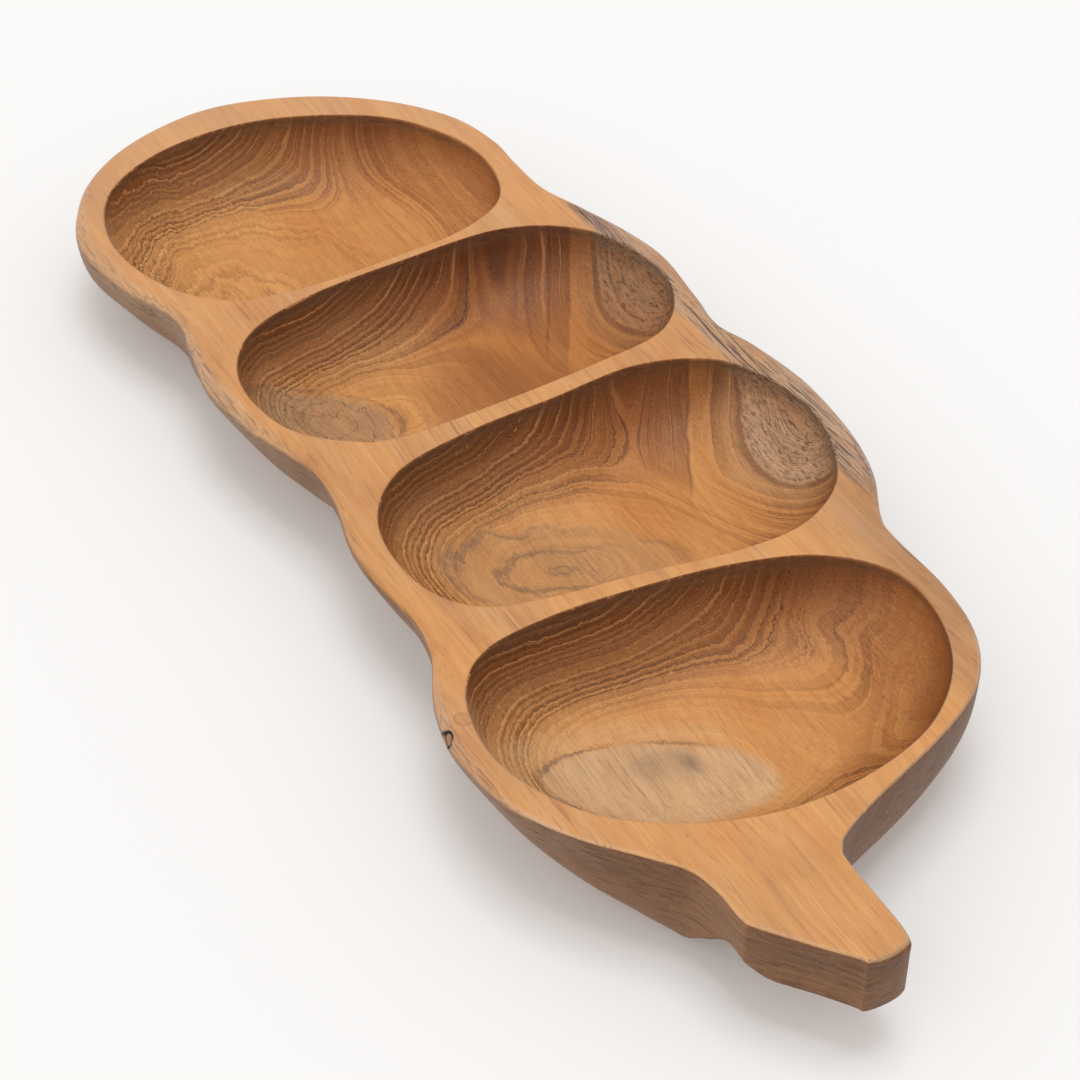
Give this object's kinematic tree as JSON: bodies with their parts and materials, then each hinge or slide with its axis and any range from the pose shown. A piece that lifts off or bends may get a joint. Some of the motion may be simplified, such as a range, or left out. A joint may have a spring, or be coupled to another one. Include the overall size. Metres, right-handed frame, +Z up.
{
  "type": "sorting bowl",
  "caption": "Shallow carved wooden tray with a lobed outline, scooped compartments in a row under one flat rim and a short stem, for sorting small things",
  "frame": {"origin": "middle of the overall footprint, on the surface the base stands on", "axes": "+X along the tray towards the stem, +Z up, +Y across the tray, so that the axes are right-handed"},
  "size_m": [0.45, 0.173, 0.036],
  "materials": {
    "oiled_wood": "sanded and oiled hardwood, satin, growth rings and pores along the length",
    "knot_wood": "sanded end grain of a small dead branch, satin",
    "old_bark": "dark, matt, crumbly bark"
  },
  "bodies": {
    "root": {"tray_body": "oiled_wood", "encased_knot": "knot_wood", "knot_bark_ring": "old_bark"}
  },
  "joints": []
}
